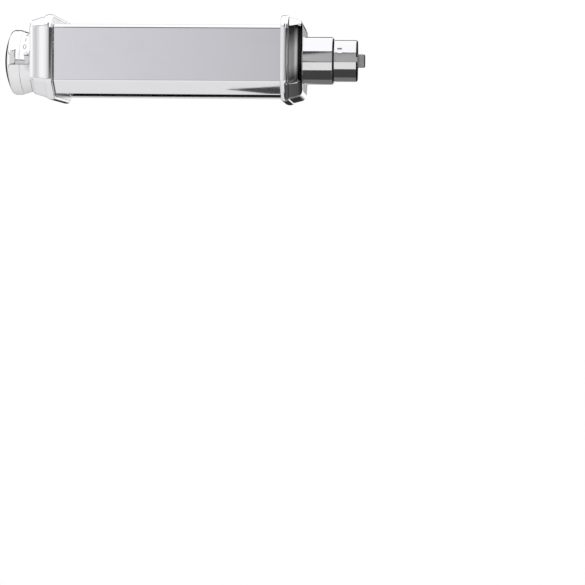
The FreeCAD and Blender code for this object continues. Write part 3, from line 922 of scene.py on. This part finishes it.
def makeKnob():
    s = knob
    y = knobAxis.y
    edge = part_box("knob_body")[1].x
    crease, seam = s["crease"], s["seam"]
    skirt, bandRadii, rim = s["skirtRadius"], s["bandRadii"], s["rimRadius"]
    bore, deep = s["bore"], s["capBore"]
    web = s["web"]
    bm = bmesh.new()
    spun(bm, [
        (edge, bore), (edge, skirt), (crease, bandRadii[0]), (seam, bandRadii[1]),
        (seam, deep), (web[0], deep), (web[0], 0.0), (web[1], 0.0), (web[1], bore),
    ], y, 0.0, 144)
    roundRings(bm, [
        (edge, skirt, 0.6 * mm, y, 0.0), (crease, bandRadii[0], 0.25 * mm, y, 0.0),
        (seam, bandRadii[1], 0.25 * mm, y, 0.0), (edge, bore, 0.3 * mm, y, 0.0),
    ], 4)
    # bore with two flats for the axle, and the index pin's hole
    flats = drillTool(*s["holeSpan"], s["axleBore"], y, 0.0, 48)
    for side in (-1, 1):
        cut = bmesh.ops.bisect_plane(flats, geom=flats.verts[:] + flats.edges[:] + flats.faces[:],
                                     plane_co=(0, 0, side * s["axleFlat"]), plane_no=(0, 0, side),
                                     clear_outer=True)
        rims = [e for e in cut["geom_cut"] if isinstance(e, bmesh.types.BMEdge)]
        bmesh.ops.holes_fill(flats, edges=rims)
    bmesh.ops.recalc_face_normals(flats, faces=flats.faces)
    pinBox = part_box("index_pin")
    pinY, pinZ = (pinBox[0].y + pinBox[1].y) / 2, (pinBox[0].z + pinBox[1].z) / 2
    bm = carved(bm, [flats, drillTool(*s["holeSpan"], s["pinHole"], pinY, pinZ, 32)])
    finishPiece("knobBody", bm, "knob", "knob_chrome", ["knob_body"])

    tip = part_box("knob_cap")[0].x
    rimFront, rimBack = tip + s["rimDepth"], s["rimBack"]
    wellEnd, well = s["capWell"]
    dome, sag = s["domeRadius"], s["domeSag"]
    sphere = (dome ** 2 + sag ** 2) / (2 * sag)
    bm = bmesh.new()
    profile = domePoints(tip, sphere, dome, 16)
    profile += [(rimFront, rim), (rimBack, rim), (seam, s["seamRadius"]), (seam, deep), (wellEnd, deep)]
    profile += [(wellEnd, well)] + domePoints(tip + s["wall"], sphere - s["wall"], well, 12, True)
    spun(bm, profile, y, 0.0, 144)
    roundRings(bm, [
        (rimFront, rim, 0.9 * mm, y, 0.0), (rimBack, rim, 0.5 * mm, y, 0.0),
        (seam, s["seamRadius"], 0.25 * mm, y, 0.0),
    ], 5)
    finishPiece("knobCap", bm, "knob", "knob_chrome", ["knob_cap"])


makeKnob()


def engraving():
    # darkened, slightly rough metal for the numerals
    paint, tree, shader = startMaterial("engraving", 0.6)
    film = useGroup(tree, oilFilm, {"Amount": 1.0, "Size": 700.0})
    tree.links.new(blendColour(tree, film.outputs["Mask"], (0.30, 0.30, 0.31, 1), (0.17, 0.17, 0.18, 1)),
                   shader.inputs["Base Color"])
    tree.links.new(mapped(tree, film.outputs["Mask"], 0.0, 1.0, 0.45, 0.62), shader.inputs["Roughness"])
    return paint


numeralInk = engraving()


def makeNumerals():
    # thin plates with the shape of each numeral, wrapped on the knob's band
    s = knob
    middle = (s["crease"] + s["seam"]) / 2
    slope = (s["bandRadii"][1] - s["bandRadii"][0]) / (s["crease"] - s["seam"])
    joined = bmesh.new()
    for setting in range(10):
        curve = bpy.data.curves.new("numeral", "FONT")
        curve.body = str(setting)
        curve.size = s["numeralSize"]
        curve.align_x = "CENTER"
        curve.align_y = "CENTER"
        curve.resolution_u = 6
        made = bpy.data.objects.new("numeral", curve)
        mesh = bpy.data.meshes.new_from_object(made)
        bm = bmesh.new()
        bm.from_mesh(mesh)
        bpy.data.objects.remove(made)
        bpy.data.curves.remove(curve)
        bpy.data.meshes.remove(mesh)
        bmesh.ops.remove_doubles(bm, verts=bm.verts, dist=1e-7)
        bmesh.ops.triangulate(bm, faces=bm.faces)
        bmesh.ops.subdivide_edges(bm, edges=bm.edges, cuts=1)
        bmesh.ops.solidify(bm, geom=bm.faces[:], thickness=s["numeralThick"])
        base = min(v.co.z for v in bm.verts) + s["numeralThick"] / 2
        angle = math.radians(s["firstNumeral"] - s["pitch"] * setting)
        for vert in bm.verts:
            x = middle + vert.co.x
            radius = s["bandRadii"][0] + slope * (s["crease"] - x) + vert.co.z - base
            around = angle - vert.co.y / radius
            vert.co = (x, knobAxis.y + radius * math.cos(around), radius * math.sin(around))
        bmesh.ops.recalc_face_normals(bm, faces=bm.faces)
        mesh = bpy.data.meshes.new("numeral")
        bm.to_mesh(mesh)
        bm.free()
        joined.from_mesh(mesh)
        bpy.data.meshes.remove(mesh)
    finishPiece("knobNumerals", joined, "knob", "knob_chrome", (), 30, numeralInk)


makeNumerals()
print("stage 7: knob and its numerals")


# hub

hub = {
    "radius": 16.0 * mm,
    "spigot": 14.0 * mm,
    "bore": 11.5 * mm,
    "chamfer": 0.8 * mm,
    "flange": (-25.5 * mm, -22.5 * mm),
    # the flange plate's outline and screw posts inside the casing, (y, z) in mm
    "outline": ((-18.2, 20.2), (47.5, 20.2), (47.5, 9.0), (38.0, -12.0), (22.0, -20.6), (4.0, -20.6),
                (-8.5, -17.2), (-18.2, -7.4)),
    "posts": ((-15.4, 14.2), (44.9, 14.2), (15.0, -17.0)),
    "lockSlot": (2.4 * mm, 5.6 * mm),
    "slotWidth": 3.2 * mm,
    "slotDepth": 1.0 * mm,
    "lockTurn": -34.0,          # degrees that a pin turns through in its slot
    "plateCorner": 3.5 * mm,
    "plateOverlap": 0.4 * mm,   # how deep the plate reaches into the barrel's wall
    "screwHole": 1.5 * mm,
    "axleHole": 4.05 * mm,
}


def makeHub():
    s = hub
    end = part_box("drive_hub")[1].x
    hubFlange = s["flange"]
    bm = bmesh.new()
    spun(bm, [
        (hubFlange[0], s["bore"]), (hubFlange[0], s["radius"]), (-s["chamfer"], s["radius"]),
        (0.0, s["radius"] - s["chamfer"]), (0.0, s["spigot"]), (end - s["chamfer"], s["spigot"]),
        (end, s["spigot"] - s["chamfer"]), (end, s["bore"]),
    ], 0.0, 0.0, 144)
    roundRings(bm, [
        (-s["chamfer"], s["radius"], 0.3 * mm, 0, 0), (0.0, s["radius"] - s["chamfer"], 0.2 * mm, 0, 0),
        (end - s["chamfer"], s["spigot"], 0.2 * mm, 0, 0), (0.0, s["spigot"], 0.4 * mm, 0, 0),
    ])
    cutters = []
    for turn in (90, 270):
        slot = bmesh.new()
        bmesh.ops.create_cube(slot, size=1.0)
        width, depth = s["slotWidth"], s["slotDepth"]
        low, high = s["lockSlot"]
        bmesh.ops.scale(slot, verts=slot.verts, vec=(end + mm - low, width, 2 * depth))
        bmesh.ops.translate(slot, verts=slot.verts, vec=((end + mm + low) / 2, 0, s["spigot"]))
        turnAboutX(slot, turn)
        cutters.append(slot)
        lock = bmesh.new()
        arc = [lock.verts.new(((low if k in (0, 3) else high), 0, s["spigot"] + (depth if k > 1 else -depth)))
               for k in range(4)]
        section = lock.faces.new(arc)
        bmesh.ops.spin(lock, geom=[section], cent=(0, 0, 0), axis=(1, 0, 0), dvec=(0, 0, 0),
                       angle=math.radians(s["lockTurn"]), steps=12, use_duplicate=False)
        bmesh.ops.recalc_face_normals(lock, faces=lock.faces)
        turnAboutX(lock, turn)
        cutters.append(lock)
    bm = carved(bm, cutters)
    # the flange joins the barrel from behind; it is seen only with the casing off
    plate = bmesh.new()
    slab(plate, [(y * mm, z * mm) for y, z in s["outline"]], *hubFlange, s["plateCorner"])
    before, after = hubFlange[0] - 4.5 * mm, hubFlange[1] + 2.5 * mm
    tools = [drillTool(before, after, s["radius"] - s["plateOverlap"], 0.0, 0.0, 96)]
    tools += [countersinkTool(hubFlange[1], hubFlange[0], y * mm, z * mm) for y, z in s["posts"]]
    tools += [drillTool(before, after, s["screwHole"], y, z, 24) for y, z in casing["flangeScrews"]]
    tools += [drillTool(before, after, s["axleHole"], knobAxis.y, 0.0, 48)]
    plate = carved(plate, tools)
    mesh = bpy.data.meshes.new("flange")
    plate.to_mesh(mesh)
    plate.free()
    bm.from_mesh(mesh)
    bpy.data.meshes.remove(mesh)
    finishPiece("driveHub", bm, "frame", "hub_chrome", ["drive_hub"])


makeHub()
print("stage 8: hub")


# rollers

roller = {
    "radius": 14.0 * mm,
    "chamfer": 0.5 * mm,
    "shaftBores": (6.0 * mm, 6.0 * mm),     # of the driven roller, at its left and right ends
    "bushBores": (8.0 * mm, 9.0 * mm),      # of the rear roller
}


def makeRollers():
    s = roller
    for name, node, body, y, bores in (
        ("driveRoller", "drive_roller", "drive", 0.0, s["shaftBores"]),
        ("rearRoller", "rear_roller", "rear_roller", rearAxis.y, s["bushBores"]),
    ):
        lo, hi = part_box(node)
        c = s["chamfer"]
        bm = bmesh.new()
        spun(bm, [
            (lo.x, bores[0]), (lo.x, s["radius"] - c), (lo.x + c, s["radius"]), (hi.x - c, s["radius"]),
            (hi.x, s["radius"] - c), (hi.x, bores[1]),
        ], y, 0.0, 144)
        bm.normal_update()
        finishPiece(name, bm, body, slotOf[node], [node])


makeRollers()
print("stage 9: rollers")


# knob spring

spring = {
    "radius": 7.0 * mm,
    "wire": 0.6 * mm,
    "turns": 4,
    "stepsPerTurn": 48,
    "keep": 0.556,      # the share of its length left when the knob is pulled out
}


def makeSpring():
    s = spring
    lo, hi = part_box("knob_spring")
    start, end = lo.x + s["wire"], hi.x - s["wire"]
    total = s["turns"] * s["stepsPerTurn"]
    bm = bmesh.new()
    section = bmesh.ops.create_circle(bm, segments=12, radius=s["wire"])["verts"]
    bmesh.ops.rotate(bm, verts=section, cent=(0, 0, 0), matrix=Matrix.Rotation(math.radians(90), 3, "Y"))
    bmesh.ops.rotate(bm, verts=section, cent=(0, 0, 0), matrix=Matrix.Rotation(math.radians(90), 3, "Z"))
    bmesh.ops.translate(bm, verts=section, vec=(start, knobAxis.y, s["radius"]))
    ring = bm.edges[:]
    bmesh.ops.spin(bm, geom=section + ring, cent=(0, knobAxis.y, 0), axis=(1, 0, 0), use_duplicate=False,
                   dvec=((end - start) / total, 0, 0), angle=math.tau * s["turns"], steps=total)
    openEnds = [e for e in bm.edges if e.is_boundary]
    bmesh.ops.holes_fill(bm, edges=openEnds)
    bmesh.ops.recalc_face_normals(bm, faces=bm.faces)
    piece = finishPiece("knobSpring", bm, "knob", "shaft_steel", ["knob_spring"], 60)
    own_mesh(piece)


makeSpring()
print("stage 10: spring")
